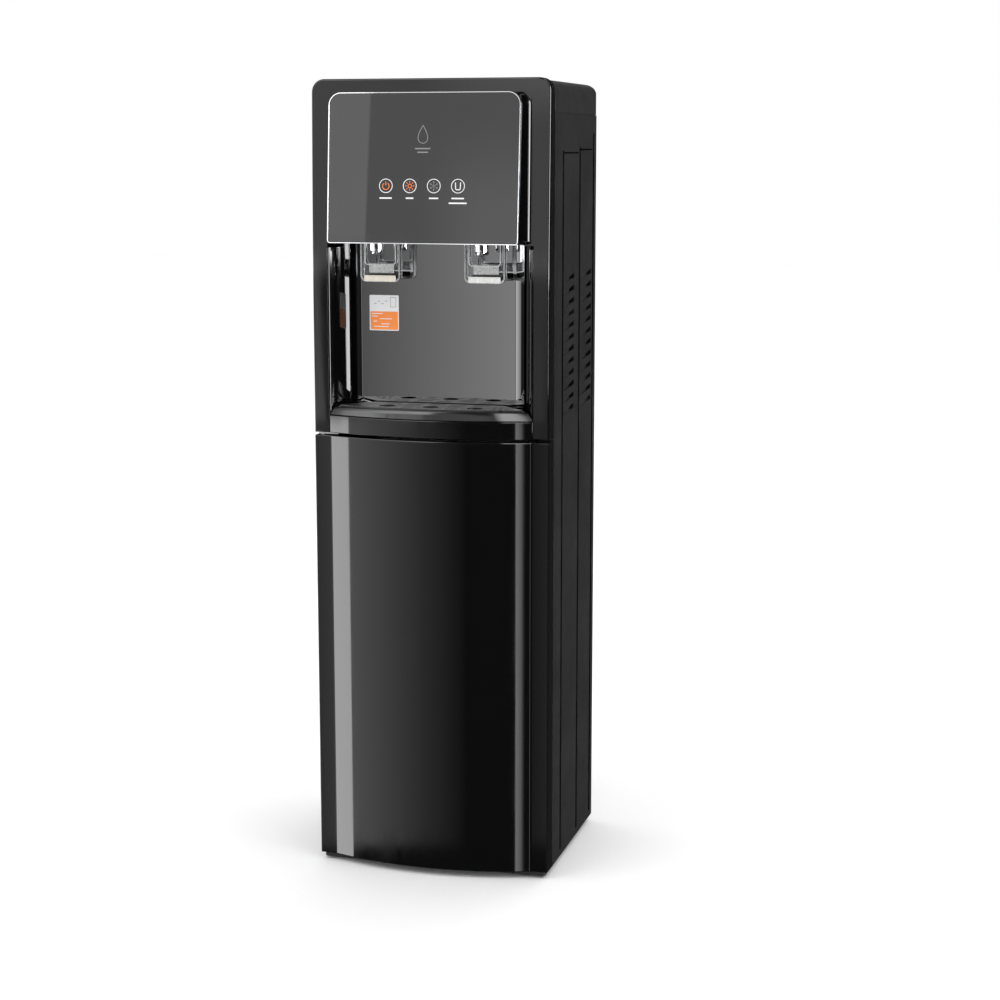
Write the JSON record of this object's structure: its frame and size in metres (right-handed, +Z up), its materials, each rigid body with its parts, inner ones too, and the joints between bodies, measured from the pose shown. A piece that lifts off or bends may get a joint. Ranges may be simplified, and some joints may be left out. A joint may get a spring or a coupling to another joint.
{
  "type": "water dispenser",
  "caption": "Slim floor-standing hot and cold water dispenser with a black gloss front, a lit control panel over a niche with paddle taps, a drip tray, and a hinged door over its filters.",
  "frame": {"origin": "on the floor, at the centre of the bounding box in plan", "axes": "+X to the right as seen from the front, +Y from the front to the back, +Z up"},
  "size_m": [0.31, 0.288, 1.02],
  "materials": {
    "gloss_black": "polished black plastic",
    "satin_black": "satin black",
    "black_steel": "fine satin powder coat",
    "display_glass": "smoked panel, gloss",
    "splash_mirror": "smoked mirror gloss",
    "chrome": "polished",
    "clear_plastic": "clear moulded",
    "milky_plastic": "milky white",
    "steel": "bare sheet steel",
    "rubber": "matte",
    "white_plastic": "moulded white",
    "foam": "rigid insulation",
    "copper": "drawn tube",
    "silicone": "translucent hose",
    "red_plastic": "gloss red",
    "green_plastic": "gloss green",
    "circuit_board": "solder mask"
  },
  "bodies": {
    "cabinet": {"base_pan": "black_steel", "cold_tank": "foam", "cold_water_hose": "silicone", "compressor": "satin_black", "condenser_panel": "satin_black", "cord_gland": "rubber", "display_board": "circuit_board", "display_panel": "display_glass", "door_magnet": "satin_black", "filter_manifold": "white_plastic", "filtered_water_hose": "silicone", "foot_front_left": "rubber", "foot_front_right": "rubber", "foot_rear_left": "rubber", "foot_rear_right": "rubber", "front_cover": "gloss_black", "hinge_pin_bottom": "steel", "hinge_plate_top": "steel", "hot_tank": "steel", "hot_water_hose": "silicone", "inlet_hose": "silicone", "lever_pin_cold": "steel", "lever_pin_hot": "steel", "lever_switch_cold": "satin_black", "lever_switch_hot": "satin_black", "module_housing": "gloss_black", "module_trim": "chrome", "niche_liner": "gloss_black", "partition": "steel", "plinth": "satin_black", "rear_lower_cover": "black_steel", "rear_panel": "black_steel", "side_panel_left": "black_steel", "side_panel_right": "black_steel", "splash_panel": "splash_mirror", "spout_cold": "chrome", "spout_hot": "chrome", "suction_tube": "copper", "switch_plate": "satin_black", "tank_shelf": "steel", "tap_bracket": "steel", "top_cap": "satin_black", "tray_fascia": "gloss_black", "water_inlet": "white_plastic"},
    "door": {"door_panel": "gloss_black", "door_lining": "satin_black", "strike_plate": "steel"},
    "hot_lever": {"lever_hot": "clear_plastic", "lever_pad_hot": "milky_plastic"},
    "cold_lever": {"lever_cold": "clear_plastic", "lever_pad_cold": "milky_plastic"},
    "tray": {"drip_tray": "gloss_black"},
    "grille": {"drip_grille": "satin_black"},
    "sediment_cartridge": {"sediment_filter": "white_plastic"},
    "carbon_cartridge": {"carbon_filter": "white_plastic"},
    "membrane_cartridge": {"membrane_filter": "white_plastic"},
    "hot_rocker": {"hot_switch": "red_plastic"},
    "cold_rocker": {"cold_switch": "green_plastic"},
    "hot_plug": {"hot_drain_plug": "white_plastic"},
    "cold_plug": {"cold_drain_plug": "white_plastic"}
  },
  "joints": [
    {"name": "door_hinge", "type": "hinge", "parent": "cabinet", "child": "door", "pos_m": [-0.1475, -0.1005, 0.29], "axis": [0, 0, -1], "range_deg": [0, 110]},
    {"name": "hot_lever_pivot", "type": "hinge", "parent": "cabinet", "child": "hot_lever", "pos_m": [-0.0687, -0.093, 0.838], "axis": [1, 0, 0], "range_deg": [0, 10], "stiffness_Nm_per_rad": 0.6, "springref_deg": -2.86},
    {"name": "cold_lever_pivot", "type": "hinge", "parent": "cabinet", "child": "cold_lever", "pos_m": [0.0687, -0.093, 0.838], "axis": [1, 0, 0], "range_deg": [0, 10], "stiffness_Nm_per_rad": 0.6, "springref_deg": -2.86},
    {"name": "drip_tray_slide", "type": "slide", "parent": "cabinet", "child": "tray", "axis": [0, -1, 0], "range_m": [0, 0.08]},
    {"name": "drip_grille_lift", "type": "slide", "parent": "tray", "child": "grille", "axis": [0, 0, 1], "range_m": [0, 0.04]},
    {"name": "sediment_twist", "type": "hinge", "parent": "cabinet", "child": "sediment_cartridge", "pos_m": [-0.088, -0.048, 0.3], "axis": [0, 0, 1], "range_deg": [0, 90]},
    {"name": "carbon_twist", "type": "hinge", "parent": "cabinet", "child": "carbon_cartridge", "pos_m": [0, -0.048, 0.3], "axis": [0, 0, 1], "range_deg": [0, 90]},
    {"name": "membrane_twist", "type": "hinge", "parent": "cabinet", "child": "membrane_cartridge", "pos_m": [0.088, -0.048, 0.3], "axis": [0, 0, 1], "range_deg": [0, 90]},
    {"name": "hot_rocker_tilt", "type": "hinge", "parent": "cabinet", "child": "hot_rocker", "pos_m": [-0.1, 0.1328, 0.337], "axis": [1, 0, 0], "range_deg": [0, 18]},
    {"name": "cold_rocker_tilt", "type": "hinge", "parent": "cabinet", "child": "cold_rocker", "pos_m": [-0.07, 0.1328, 0.337], "axis": [1, 0, 0], "range_deg": [0, 18]},
    {"name": "hot_drain_unscrew", "type": "hinge", "parent": "cabinet", "child": "hot_plug", "pos_m": [-0.02, 0.1325, 0.337], "axis": [0, 1, 0], "range_deg": [0, 720]},
    {"name": "cold_drain_unscrew", "type": "hinge", "parent": "cabinet", "child": "cold_plug", "pos_m": [0.015, 0.1325, 0.337], "axis": [0, 1, 0], "range_deg": [0, 720]}
  ]
}
